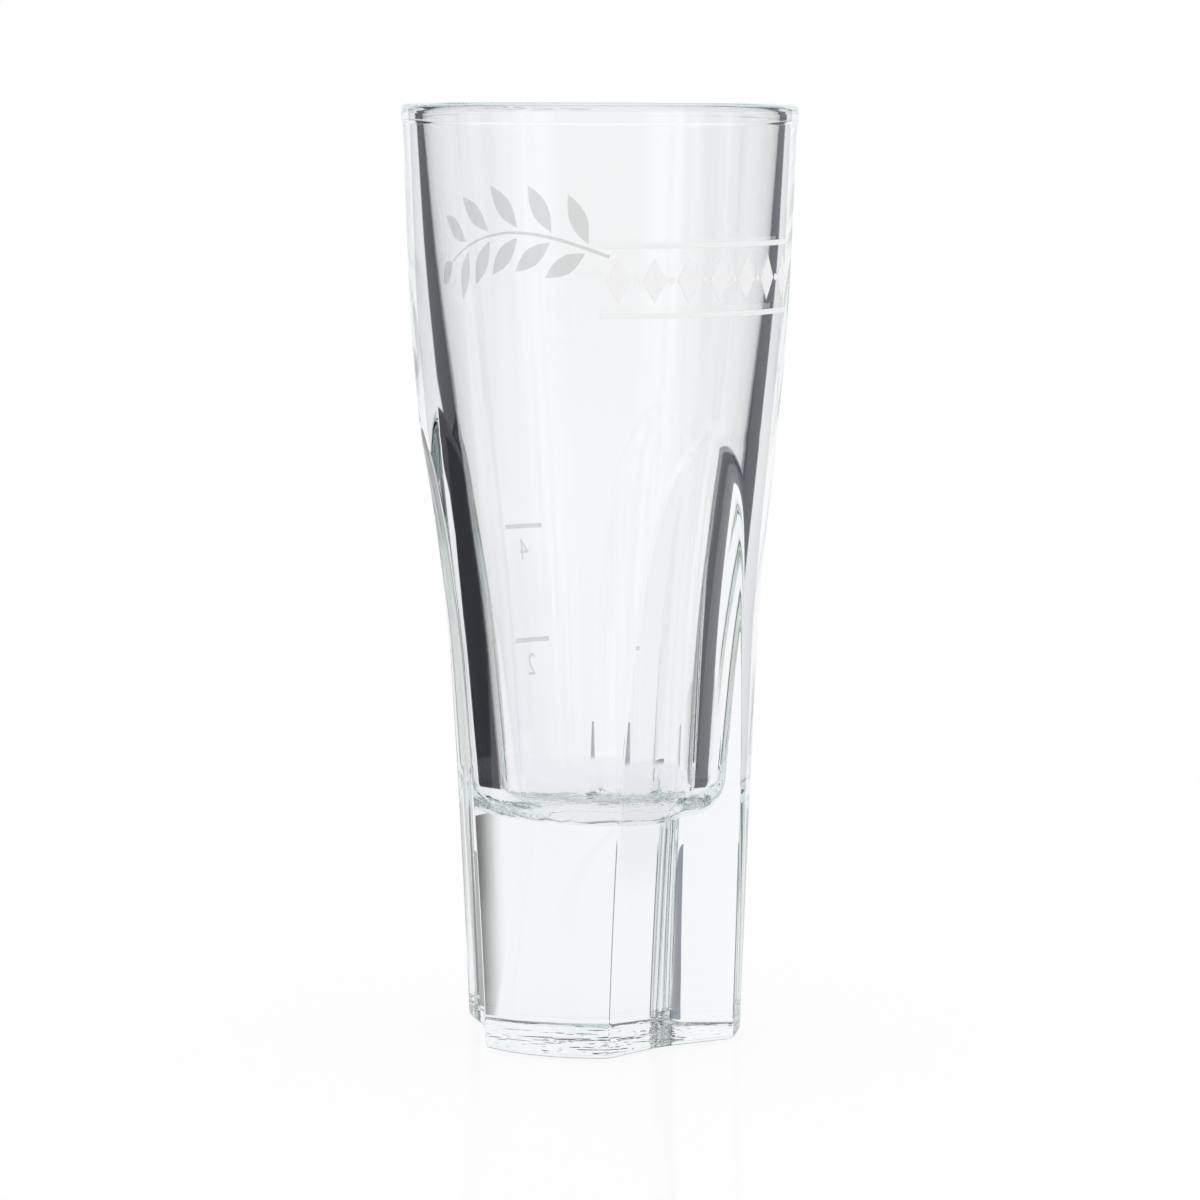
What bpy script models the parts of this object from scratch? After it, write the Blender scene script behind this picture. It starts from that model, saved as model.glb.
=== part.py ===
"""Liqueur glass: a pressed tumbler with three V-shaped flutes and fired white enamel marks.

Units are metres, +Z is up and the origin is the centre of the resting face.
One flute and the front mark face -Y; the leaf sprig and the fill marks face +Y.
"""

import math

import bmesh
import bpy
from mathutils import Matrix

# Outer wall: a drafted cone with one S-shaped flare
GLASS_HEIGHT = 0.142
BASE_RADIUS = 0.02205
BODY_DRAFT = math.radians(2.1)
FLARE_WIDTH = 0.0026
FLARE_START_HEIGHT = 0.056
FLARE_LENGTH = 0.061
BASE_EDGE_RADIUS = 0.0009

# Cavity: the wall thickens evenly from the lip to the floor
LIP_WALL = 0.0027
FLOOR_THICKNESS = 0.035
FLOOR_CORNER_RADIUS = 0.0052
FLOOR_DISH = 0.0007

# Flutes: V grooves with a rounded valley, whose depth runs out along a quarter ellipse
FLUTE_COUNT = 3
FLUTE_HEIGHT = 0.092
FLUTE_DEPTH = 0.005
FLUTE_FLANK_SLOPE = math.radians(8)
FLUTE_VALLEY_RADIUS = 0.006
FLUTE_WEB = 0.0026

# Fired enamel
ENAMEL_THICKNESS = 0.0002
ENAMEL_CLEARANCE = 0.0001

# Front border: two rules with a row of lozenges and dots between them
BORDER_DROP = 0.0254
BORDER_LENGTH = 0.038
BORDER_HEIGHT = 0.011
RULE_WIDTH = 0.0008
LOZENGE_COUNT = 7
LOZENGE_WIDTH = 0.0038
LOZENGE_HEIGHT = 0.0066
DOT_RADIUS = 0.0005

# Rear sprig: an arched stem with leaf pairs and an end leaf
SPRIG_DROP = 0.0236
SPRIG_LENGTH = 0.0355
SPRIG_SHIFT = 0.0027
SPRIG_RISE = 0.004
STEM_WIDTH = 0.0006
LEAF_PAIRS = 5
LEAF_LENGTH = 0.0085
LEAF_WIDTH = 0.003
LEAF_LEAN = math.radians(48)
LEAF_GAP = 0.0005

# Fill marks, placed where the cavity holds each volume in cubic metres
FILL_VOLUMES = {"4": 40e-6, "2": 20e-6}
FILL_LINE_LENGTH = 0.0095
FILL_LINE_WIDTH = 0.0007
NUMERAL_HEIGHT = 0.0034
NUMERAL_GAP = 0.0012

# Facets
TURN_STEPS = 84
WALL_RINGS = 18
ARC_STEPS = 4
WRAP_STEP = 0.002
VOLUME_SLICES = 400

FRONT = -math.pi / 2
REAR = math.pi / 2
CUTTER_MARGIN = 0.004
MERGE_DISTANCE = 1e-6

GLASS_COLOUR = (0.93, 0.96, 0.95, 1)
GLASS_ROUGHNESS = 0.02
GLASS_IOR = 1.52
ENAMEL_COLOUR = (0.92, 0.92, 0.91, 1)
ENAMEL_ROUGHNESS = 0.4


def clear_scene():
    """Remove every object in the scene."""
    for item in list(bpy.data.objects):
        bpy.data.objects.remove(item)


def new_collection(name):
    """Add a collection to the scene."""
    collection = bpy.data.collections.new(name)
    bpy.context.scene.collection.children.link(collection)
    return collection


def material(name, colour, roughness, transmission=0.0, ior=1.5):
    """Make a Principled material."""
    made = bpy.data.materials.new(name)
    made.use_nodes = True
    shader = made.node_tree.nodes["Principled BSDF"]
    shader.inputs["Base Color"].default_value = colour
    shader.inputs["Roughness"].default_value = roughness
    shader.inputs["Metallic"].default_value = 0.0
    shader.inputs["Transmission Weight"].default_value = transmission
    shader.inputs["IOR"].default_value = ior
    return made


def smoothstep(share):
    """Ease from 0 to 1 with level ends."""
    held = min(max(share, 0.0), 1.0)
    return held * held * (3 - 2 * held)


def outer_radius(height):
    """Radius of the round lobes at a height."""
    flare = smoothstep((height - FLARE_START_HEIGHT) / FLARE_LENGTH)
    return BASE_RADIUS + height * math.tan(BODY_DRAFT) + FLARE_WIDTH * flare


def flute_depth(height):
    """How deep the flute valley lies under the lobes at a height."""
    share = min(max(height / FLUTE_HEIGHT, 0.0), 1.0)
    return FLUTE_DEPTH * math.sqrt(1 - share * share)


def wall_thickness(height):
    """Radial wall of the lobes: the lip's wall above, the flute and its web at the floor."""
    floor_wall = flute_depth(FLOOR_THICKNESS) + FLUTE_WEB
    share = (height - FLOOR_THICKNESS) / (GLASS_HEIGHT - FLOOR_THICKNESS)
    return floor_wall + (LIP_WALL - floor_wall) * share


def inner_radius(height):
    """Radius of the cavity at a height."""
    return outer_radius(height) - wall_thickness(height)


def flat_floor_radius():
    """Radius at which the cavity floor turns up into its corner."""
    return inner_radius(FLOOR_THICKNESS + FLOOR_CORNER_RADIUS) - FLOOR_CORNER_RADIUS


def steps(first, last, count):
    """Evenly spaced values from first to last, both included."""
    return [first + (last - first) * i / count for i in range(count + 1)]


def arc(centre_x, centre_z, radius, start, end):
    """Points of an arc in the profile plane, angles in degrees."""
    turns = [math.radians(a) for a in steps(start, end, ARC_STEPS)]
    return [(centre_x + radius * math.cos(t), centre_z + radius * math.sin(t)) for t in turns]


def glass_profile():
    """Half section from the cavity floor, up inside, over the lip, down outside to the base centre."""
    corner_height = FLOOR_THICKNESS + FLOOR_CORNER_RADIUS
    corner_x = flat_floor_radius()
    floor = [(0.0, FLOOR_THICKNESS - FLOOR_DISH), (corner_x / 2, FLOOR_THICKNESS - FLOOR_DISH * 3 / 4)]
    corner = arc(corner_x, corner_height, FLOOR_CORNER_RADIUS, -90, 0)
    lip_radius = LIP_WALL / 2
    lip_height = GLASS_HEIGHT - lip_radius
    inside = [(inner_radius(z), z) for z in steps(corner_height, lip_height, WALL_RINGS)][1:-1]
    lip_x = (inner_radius(lip_height) + outer_radius(lip_height)) / 2
    lip = arc(lip_x, lip_height, lip_radius, 180, 90) + arc(lip_x, lip_height, lip_radius, 90, 0)[1:]
    outside = [(outer_radius(z), z) for z in steps(lip_height, BASE_EDGE_RADIUS, WALL_RINGS)][1:-1]
    edge_x = outer_radius(BASE_EDGE_RADIUS) - BASE_EDGE_RADIUS
    edge = arc(edge_x, BASE_EDGE_RADIUS, BASE_EDGE_RADIUS, 0, -90)
    return floor + corner + inside + lip + outside + edge + [(0.0, 0.0)]


def mesh_object(name, mesh, collection, finish=None):
    """Link a mesh as an object of a collection."""
    made = bpy.data.objects.new(name, mesh)
    if finish:
        made.data.materials.append(finish)
    collection.objects.link(made)
    return made


def bmesh_object(name, shape, collection, finish=None):
    """Turn a bmesh into an object and free it."""
    mesh = bpy.data.meshes.new(name)
    shape.to_mesh(mesh)
    shape.free()
    mesh.shade_smooth()
    mesh.set_sharp_from_angle(angle=math.radians(30))
    return mesh_object(name, mesh, collection, finish)


def turned_object(name, profile, collection, finish):
    """Turn a profile about +Z."""
    mesh = bpy.data.meshes.new(name)
    edges = [(i, i + 1) for i in range(len(profile) - 1)]
    mesh.from_pydata([(x, 0.0, z) for x, z in profile], edges, [])
    made = mesh_object(name, mesh, collection, finish)
    screw = made.modifiers.new("turn", "SCREW")
    screw.axis = "Z"
    screw.steps = TURN_STEPS
    screw.render_steps = TURN_STEPS
    screw.use_merge_vertices = True
    screw.merge_threshold = MERGE_DISTANCE
    screw.use_smooth_shade = True
    return made


def flank_rise(offset):
    """How far the flute surface rises from its valley at a sideways offset."""
    fillet_half = FLUTE_VALLEY_RADIUS * math.sin(FLUTE_FLANK_SLOPE)
    side = abs(offset)
    if side <= fillet_half:
        return FLUTE_VALLEY_RADIUS - math.sqrt(FLUTE_VALLEY_RADIUS ** 2 - side ** 2)
    fillet_rise = FLUTE_VALLEY_RADIUS * (1 - math.cos(FLUTE_FLANK_SLOPE))
    return fillet_rise + (side - fillet_half) * math.tan(FLUTE_FLANK_SLOPE)


def flute_outline():
    """Side view of a flute cutter, radius against height: its valley line and a closed back."""
    tip = outer_radius(FLUTE_HEIGHT)
    back = tip + CUTTER_MARGIN
    turns = steps(0.0, math.pi / 2, WALL_RINGS)
    heights = [FLUTE_HEIGHT * math.sin(t) for t in turns]
    valley = [(outer_radius(z) - flute_depth(z), z) for z in heights]
    foot = [(back, -CUTTER_MARGIN), (valley[0][0], -CUTTER_MARGIN)]
    return foot + valley + [(back, FLUTE_HEIGHT)]


def flute_cutter(name, angle, collection):
    """Sweep the flute's side view sideways along its V section."""
    reach = outer_radius(FLUTE_HEIGHT)
    fillet_half = FLUTE_VALLEY_RADIUS * math.sin(FLUTE_FLANK_SLOPE)
    stations = [-reach] + steps(-fillet_half, fillet_half, 2 * ARC_STEPS) + [reach]
    shape = bmesh.new()
    start = flank_rise(stations[0])
    corners = [shape.verts.new((r + start, stations[0], z)) for r, z in flute_outline()]
    face = shape.faces.new(corners)
    first_face = face
    for before, after in zip(stations, stations[1:]):
        grown = bmesh.ops.extrude_face_region(shape, geom=[face])["geom"]
        if face is not first_face:
            shape.faces.remove(face)
        moved = [g for g in grown if isinstance(g, bmesh.types.BMVert)]
        face = next(g for g in grown if isinstance(g, bmesh.types.BMFace))
        move = (flank_rise(after) - flank_rise(before), after - before, 0.0)
        bmesh.ops.translate(shape, verts=moved, vec=move)
    bmesh.ops.recalc_face_normals(shape, faces=shape.faces)
    bmesh.ops.rotate(shape, verts=shape.verts, matrix=Matrix.Rotation(angle, 3, "Z"))
    made = bmesh_object(name, shape, collection)
    made.hide_render = True
    made.display_type = "WIRE"
    return made


def build_glass(parts, cutters, finish):
    """Turn the glass and cut its flutes."""
    glass = turned_object("glass_body", glass_profile(), parts, finish)
    for i in range(FLUTE_COUNT):
        angle = FRONT + i * 2 * math.pi / FLUTE_COUNT
        cut = glass.modifiers.new(f"flute_{i + 1}", "BOOLEAN")
        cut.operation = "DIFFERENCE"
        cut.object = flute_cutter(f"flute_cutter_{i + 1}", angle, cutters)
    return glass


def outline_curve(name, outline):
    """Make a closed flat outline that can be filled and extruded."""
    curve = bpy.data.curves.new(name, "CURVE")
    curve.dimensions = "2D"
    spline = curve.splines.new("POLY")
    spline.points.add(len(outline) - 1)
    for point, (x, y) in zip(spline.points, outline):
        point.co = (x, y, 0.0, 1.0)
    spline.use_cyclic_u = True
    return curve


def numeral_curve(name, digit):
    """Make a plain numeral, centred under its top edge."""
    curve = bpy.data.curves.new(name, "FONT")
    curve.body = digit
    curve.size = NUMERAL_HEIGHT / 0.7
    curve.align_x = "CENTER"
    curve.align_y = "TOP"
    curve.resolution_u = 2
    return curve


def flat_shape(curve):
    """Fill and extrude a flat curve, and return it as a welded bmesh."""
    curve.fill_mode = "BOTH"
    curve.extrude = ENAMEL_THICKNESS / 2
    holder = bpy.data.objects.new("outline", curve)
    bpy.context.scene.collection.objects.link(holder)
    graph = bpy.context.evaluated_depsgraph_get()
    mesh = bpy.data.meshes.new_from_object(holder.evaluated_get(graph))
    shape = bmesh.new()
    shape.from_mesh(mesh)
    bpy.data.objects.remove(holder)
    bpy.data.meshes.remove(mesh)
    bmesh.ops.remove_doubles(shape, verts=shape.verts, dist=MERGE_DISTANCE)
    return shape


def split_for_wrap(shape):
    """Slice a flat shape at even steps both ways, so that it can follow the wall."""
    for axis in (0, 1):
        places = [vert.co[axis] for vert in shape.verts]
        first = math.floor(min(places) / WRAP_STEP) + 1
        last = math.ceil(max(places) / WRAP_STEP)
        normal = [0.0, 0.0, 0.0]
        normal[axis] = 1.0
        for line in range(first, last):
            place = [0.0, 0.0, 0.0]
            place[axis] = line * WRAP_STEP
            whole = shape.verts[:] + shape.edges[:] + shape.faces[:]
            bmesh.ops.bisect_plane(shape, geom=whole, plane_co=place, plane_no=normal)


def build_enamel(name, curve, facing, height, parts, finish):
    """Wrap a flat outline onto the outer wall at a height, as a thin closed layer."""
    shape = flat_shape(curve)
    split_for_wrap(shape)
    bearing = outer_radius(height)
    rest = ENAMEL_CLEARANCE + ENAMEL_THICKNESS / 2
    for vert in shape.verts:
        across, up, out = vert.co
        turn = facing + across / bearing
        radius = outer_radius(height + up) + rest + out
        vert.co = (radius * math.cos(turn), radius * math.sin(turn), height + up)
    bmesh.ops.triangulate(shape, faces=shape.faces)
    bmesh.ops.recalc_face_normals(shape, faces=shape.faces)
    return bmesh_object(name, shape, parts, finish)


def bar(length, width, centre=(0.0, 0.0)):
    """Outline of a straight bar."""
    x, y = centre
    across, up = length / 2, width / 2
    return [(x - across, y - up), (x + across, y - up), (x + across, y + up), (x - across, y + up)]


def lozenge(centre_x):
    """Outline of an upright lozenge."""
    across, up = LOZENGE_WIDTH / 2, LOZENGE_HEIGHT / 2
    return [(centre_x, -up), (centre_x + across, 0.0), (centre_x, up), (centre_x - across, 0.0)]


def dot(centre_x):
    """Outline of a round dot."""
    turns = steps(0.0, 2 * math.pi, 2 * ARC_STEPS)[:-1]
    return [(centre_x + DOT_RADIUS * math.cos(t), DOT_RADIUS * math.sin(t)) for t in turns]


def build_border(parts, finish):
    """Front mark: two rules with lozenges and dots between them."""
    height = GLASS_HEIGHT - BORDER_DROP
    rule_y = (BORDER_HEIGHT - RULE_WIDTH) / 2
    outlines = {
        "front_rule_upper": bar(BORDER_LENGTH, RULE_WIDTH, (0.0, rule_y)),
        "front_rule_lower": bar(BORDER_LENGTH, RULE_WIDTH, (0.0, -rule_y)),
    }
    pitch = BORDER_LENGTH / LOZENGE_COUNT
    first = -pitch * (LOZENGE_COUNT - 1) / 2
    for i in range(LOZENGE_COUNT):
        outlines[f"front_lozenge_{i + 1}"] = lozenge(first + i * pitch)
    for i in range(LOZENGE_COUNT - 1):
        outlines[f"front_dot_{i + 1}"] = dot(first + (i + 0.5) * pitch)
    for name, outline in outlines.items():
        build_enamel(name, outline_curve(name, outline), FRONT, height, parts, finish)


def stem_point(share):
    """Point of the sprig's arched centre line, from its foot at 0 to its end at 1."""
    x = (share - 0.5) * SPRIG_LENGTH - SPRIG_SHIFT
    return x, SPRIG_RISE * (math.sin(math.pi * share) - 0.5)


def stem_heading(share):
    """Direction of the centre line."""
    return math.atan2(SPRIG_RISE * math.pi * math.cos(math.pi * share), SPRIG_LENGTH)


def stem_outline():
    """Outline of the stem: its centre line with a width that narrows to the end."""
    shares = steps(0.0, 1.0, 3 * ARC_STEPS)
    upper, lower = [], []
    for share in shares:
        x, y = stem_point(share)
        half = STEM_WIDTH / 2 * (1 - share / 2)
        turn = stem_heading(share)
        upper.append((x - half * math.sin(turn), y + half * math.cos(turn)))
        lower.append((x + half * math.sin(turn), y - half * math.cos(turn)))
    return lower + upper[::-1]


def leaf_outline(root, heading):
    """Outline of a pointed leaf from its root along a heading."""
    outline = []
    for side in (1, -1):
        shares = steps(0.0, 1.0, 2 * ARC_STEPS)[:-1]
        for share in shares if side > 0 else [1 - s for s in shares]:
            along = LEAF_LENGTH * share
            across = -side * LEAF_WIDTH / 2 * math.sin(math.pi * share)
            x = root[0] + along * math.cos(heading) - across * math.sin(heading)
            y = root[1] + along * math.sin(heading) + across * math.cos(heading)
            outline.append((x, y))
    return outline


def build_sprig(parts, finish):
    """Rear mark: a stem with leaves beside it and one at its end."""
    height = GLASS_HEIGHT - SPRIG_DROP
    outlines = {"rear_stem": stem_outline()}
    for pair in range(LEAF_PAIRS):
        share = (pair + 0.5) / LEAF_PAIRS * 0.9
        x, y = stem_point(share)
        for label, side in (("upper", 1), ("lower", -1)):
            heading = stem_heading(share) + side * LEAF_LEAN
            stand_off = (STEM_WIDTH / 2 + LEAF_GAP) / math.sin(LEAF_LEAN)
            root = (x + stand_off * math.cos(heading), y + stand_off * math.sin(heading))
            outlines[f"rear_leaf_{label}_{pair + 1}"] = leaf_outline(root, heading)
    end_x, end_y = stem_point(1.0)
    heading = stem_heading(1.0)
    root = (end_x + LEAF_GAP * math.cos(heading), end_y + LEAF_GAP * math.sin(heading))
    outlines["rear_leaf_end"] = leaf_outline(root, heading)
    for name, outline in outlines.items():
        build_enamel(name, outline_curve(name, outline), REAR, height, parts, finish)


def floor_radius_at(height):
    """Radius of the cavity at a height, with the rounded floor corner."""
    above = height - FLOOR_THICKNESS
    if above >= FLOOR_CORNER_RADIUS:
        return inner_radius(height)
    drop = FLOOR_CORNER_RADIUS - above
    return flat_floor_radius() + math.sqrt(FLOOR_CORNER_RADIUS ** 2 - drop ** 2)


def fill_height(volume):
    """Height at which the cavity holds a volume."""
    slice_height = (GLASS_HEIGHT - FLOOR_THICKNESS) / VOLUME_SLICES
    held = math.pi * flat_floor_radius() ** 2 * FLOOR_DISH / 2
    height = FLOOR_THICKNESS
    while held < volume and height < GLASS_HEIGHT:
        held += math.pi * floor_radius_at(height + slice_height / 2) ** 2 * slice_height
        height += slice_height
    return height


def build_fill_marks(parts, finish):
    """Rear fill lines, each with its numeral under it."""
    for digit, volume in FILL_VOLUMES.items():
        height = fill_height(volume)
        line_name = f"fill_line_{digit}cl"
        line = outline_curve(line_name, bar(FILL_LINE_LENGTH, FILL_LINE_WIDTH))
        build_enamel(line_name, line, REAR, height, parts, finish)
        numeral_name = f"fill_numeral_{digit}"
        top = height - FILL_LINE_WIDTH / 2 - NUMERAL_GAP
        build_enamel(numeral_name, numeral_curve(numeral_name, digit), REAR, top, parts, finish)


def main():
    """Build the glass and its enamel marks."""
    clear_scene()
    parts = new_collection("liqueur_glass")
    cutters = new_collection("cutters")
    glass = material("clear_glass", GLASS_COLOUR, GLASS_ROUGHNESS, transmission=1.0, ior=GLASS_IOR)
    enamel = material("white_enamel", ENAMEL_COLOUR, ENAMEL_ROUGHNESS)
    build_glass(parts, cutters, glass)
    build_border(parts, enamel)
    build_sprig(parts, enamel)
    build_fill_marks(parts, enamel)


main()
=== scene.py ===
"""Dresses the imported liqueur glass: fine pressed surfaces, fired enamel marks and a plain white studio."""

from __future__ import annotations

import logging
import math
from dataclasses import dataclass, field
from enum import Enum

import bmesh
import bpy
import numpy as np
from mathutils import Matrix, Vector, noise


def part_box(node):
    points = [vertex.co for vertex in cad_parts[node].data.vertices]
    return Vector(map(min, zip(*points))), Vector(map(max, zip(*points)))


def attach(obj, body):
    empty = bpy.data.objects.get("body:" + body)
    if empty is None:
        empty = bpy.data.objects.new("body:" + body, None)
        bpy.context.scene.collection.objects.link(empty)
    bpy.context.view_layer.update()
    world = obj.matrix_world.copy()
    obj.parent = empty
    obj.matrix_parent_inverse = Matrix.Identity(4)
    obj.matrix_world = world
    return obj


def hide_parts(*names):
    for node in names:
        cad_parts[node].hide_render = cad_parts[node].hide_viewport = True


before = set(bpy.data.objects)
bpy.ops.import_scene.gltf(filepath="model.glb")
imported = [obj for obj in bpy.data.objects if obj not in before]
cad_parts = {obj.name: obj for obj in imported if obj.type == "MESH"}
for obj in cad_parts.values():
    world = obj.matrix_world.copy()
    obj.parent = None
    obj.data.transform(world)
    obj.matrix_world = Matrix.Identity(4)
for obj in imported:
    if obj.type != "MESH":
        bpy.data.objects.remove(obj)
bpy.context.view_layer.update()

LOG = logging.getLogger("liqueur_glass")
Number = np.ndarray | float
Colour = tuple[float, float, float, float]
Outline = list[tuple[float, float]]
WHITE: Colour = (1.0, 1.0, 1.0, 1.0)
# Tones of the glowing sheets that paint shade and reflections into the glass.
PALE_GLOW: Colour = (1.0, 0.99, 0.95, 1.0)
BLUISH_GLOW: Colour = (0.78, 0.84, 1.0, 1.0)


class Slot(str, Enum):
    """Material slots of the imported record."""

    GLASS = "clear_glass"
    ENAMEL = "white_enamel"


class Facing(float, Enum):
    """Directions round the axis in which the marks face, in radians from +X."""

    FRONT = -math.pi / 2
    REAR = math.pi / 2


class Zone(Enum):
    """Stretches of the glass's surface, from the cavity floor over the lip to the base."""

    FLOOR = "floor"
    CORNER = "corner"
    INSIDE = "inside"
    LIP = "lip"
    OUTSIDE = "outside"
    EDGE = "edge"
    BASE = "base"


Row = tuple[Zone, float, float]


def smoothstep(share: Number) -> Number:
    """Ease from 0 to 1 with level ends."""
    held = np.clip(share, 0.0, 1.0)
    return held * held * (3 - 2 * held)


def add_node(owner: bpy.types.Material | bpy.types.World, kind: str, **settings: object) -> bpy.types.Node:
    """Add a shader node with settings.

    Args:
        owner: Material or world that owns the node tree.
        kind: Blender's node type name.
        settings: Attributes of the node, or default values of its inputs by name.

    Returns:
        The new node.
    """
    node = owner.node_tree.nodes.new(kind)
    for name, value in settings.items():
        label = name.replace("_", " ")
        if label in node.inputs:
            node.inputs[label].default_value = value
        else:
            setattr(node, name, value)
    return node


def link_object(name: str, mesh: bpy.types.Mesh) -> bpy.types.Object:
    """Link a mesh to the scene as an object.

    Args:
        name: Name of the object.
        mesh: Its mesh.

    Returns:
        The new object.
    """
    made = bpy.data.objects.new(name, mesh)
    bpy.context.scene.collection.objects.link(made)
    return made


@dataclass(frozen=True)
class ClearGlass:
    """Fire-polished soda-lime glass with a faint green body colour."""

    ior: float = 1.52
    tint: Colour = (0.995, 0.998, 0.997, 1.0)
    body_colour: Colour = (0.63, 0.80, 0.75, 1.0)
    body_density: float = 4.0

    def material(self) -> bpy.types.Material:
        """Make the glass material.

        Returns:
            The material.
        """
        made = bpy.data.materials.new("clear_glass")
        made.use_nodes = True
        tree = made.node_tree
        shader = tree.nodes["Principled BSDF"]
        shader.inputs["Base Color"].default_value = self.tint
        shader.inputs["Roughness"].default_value = 0.0
        shader.inputs["IOR"].default_value = self.ior
        shader.inputs["Transmission Weight"].default_value = 1.0
        body = {"Color": self.body_colour, "Density": self.body_density}
        absorb = add_node(made, "ShaderNodeVolumeAbsorption", **body)
        tree.links.new(absorb.outputs["Volume"], tree.nodes["Material Output"].inputs["Volume"])
        return made


@dataclass(frozen=True)
class FiredEnamel:
    """White screen-printed enamel, slightly uneven, softly glossy, and see-through if its cover is thin."""

    name: str = "white_enamel"
    colour: Colour = (0.99, 0.99, 0.985, 1.0)
    thin_colour: Colour = (0.95, 0.952, 0.955, 1.0)
    thin_at: float = 0.32
    full_at: float = 0.52
    roughness: float = 0.38
    grain: float = 3200.0
    grain_detail: float = 4.0
    relief_strength: float = 0.15
    relief_height: float = 0.00003
    cover: float = 1.0

    def material(self) -> bpy.types.Material:
        """Make the enamel material.

        Returns:
            The material.
        """
        made = bpy.data.materials.new(self.name)
        made.use_nodes = True
        links = made.node_tree.links
        shader = made.node_tree.nodes["Principled BSDF"]
        shader.inputs["Roughness"].default_value = self.roughness
        shader.inputs["Alpha"].default_value = self.cover
        place = add_node(made, "ShaderNodeTexCoord")
        mottle = add_node(made, "ShaderNodeTexNoise", Scale=self.grain, Detail=self.grain_detail)
        links.new(place.outputs["Object"], mottle.inputs["Vector"])
        ramp = add_node(made, "ShaderNodeValToRGB")
        stops = ((self.thin_at, self.thin_colour), (self.full_at, self.colour))
        for element, (position, colour) in zip(ramp.color_ramp.elements, stops):
            element.position = position
            element.color = colour
        links.new(mottle.outputs["Fac"], ramp.inputs["Fac"])
        links.new(ramp.outputs["Color"], shader.inputs["Base Color"])
        bump = add_node(made, "ShaderNodeBump", Strength=self.relief_strength, Distance=self.relief_height)
        links.new(mottle.outputs["Fac"], bump.inputs["Height"])
        links.new(bump.outputs["Normal"], shader.inputs["Normal"])
        return made


@dataclass(frozen=True)
class PaleFloor:
    """Polished white tabletop that keeps a faint shadow and reflection, and mirrors the set in the glass.

    Attributes:
        colour: Colour of the top.
        roughness: Roughness of its polish.
        specular: Strength of its polish.
        white_share: How much of it the camera sees as plain white.
        glass_tone: Its colour as the glass shows it from above.
        mirror_tone: Colour of its mirror, as the glass shows it at a low angle.
        mirror_from: Fresnel share at which the mirror starts.
        mirror_to: Fresnel share at which there is only mirror.
        polish_ior: Refractive index of the polish.
    """

    colour: Colour = (0.95, 0.95, 0.95, 1.0)
    roughness: float = 0.03
    specular: float = 0.3
    white_share: float = 0.86
    glass_tone: Colour = (0.89, 0.89, 0.925, 1.0)
    mirror_tone: Colour = (1.0, 0.995, 0.995, 1.0)
    mirror_from: float = 0.30
    mirror_to: float = 0.44
    polish_ior: float = 1.5

    def material(self) -> bpy.types.Material:
        """Make the floor material.

        Returns:
            The material.
        """
        made = bpy.data.materials.new("pale_floor")
        made.use_nodes = True
        tree = made.node_tree
        shader = tree.nodes["Principled BSDF"]
        shader.inputs["Base Color"].default_value = self.colour
        shader.inputs["Roughness"].default_value = self.roughness
        shader.inputs["Specular IOR Level"].default_value = self.specular
        path = add_node(made, "ShaderNodeLightPath")
        white = add_node(made, "ShaderNodeEmission", Strength=1.0)
        pale = add_node(made, "ShaderNodeEmission", Color=self.glass_tone, Strength=1.0)
        mirror = add_node(made, "ShaderNodeBsdfGlossy", Color=self.mirror_tone, Roughness=0.0)
        slant = add_node(made, "ShaderNodeFresnel", IOR=self.polish_ior)
        polish = add_node(made, "ShaderNodeMapRange", From_Min=self.mirror_from, From_Max=self.mirror_to)
        in_glass = add_node(made, "ShaderNodeMixShader")
        tree.links.new(slant.outputs["Fac"], polish.inputs["Value"])
        tree.links.new(polish.outputs["Result"], in_glass.inputs["Fac"])
        tree.links.new(pale.outputs["Emission"], in_glass.inputs[1])
        tree.links.new(mirror.outputs["BSDF"], in_glass.inputs[2])
        surface = shader.outputs["BSDF"]
        views = (
            ("Is Camera Ray", self.white_share, white.outputs["Emission"]),
            ("Is Transmission Ray", 1.0, in_glass.outputs["Shader"]),
        )
        for ray, share, seen in views:
            part = add_node(made, "ShaderNodeMath", operation="MULTIPLY")
            part.inputs[1].default_value = share
            mix = add_node(made, "ShaderNodeMixShader")
            tree.links.new(path.outputs[ray], part.inputs[0])
            tree.links.new(part.outputs["Value"], mix.inputs["Fac"])
            tree.links.new(surface, mix.inputs[1])
            tree.links.new(seen, mix.inputs[2])
            surface = mix.outputs["Shader"]
        tree.links.new(surface, tree.nodes["Material Output"].inputs["Surface"])
        return made


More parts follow.
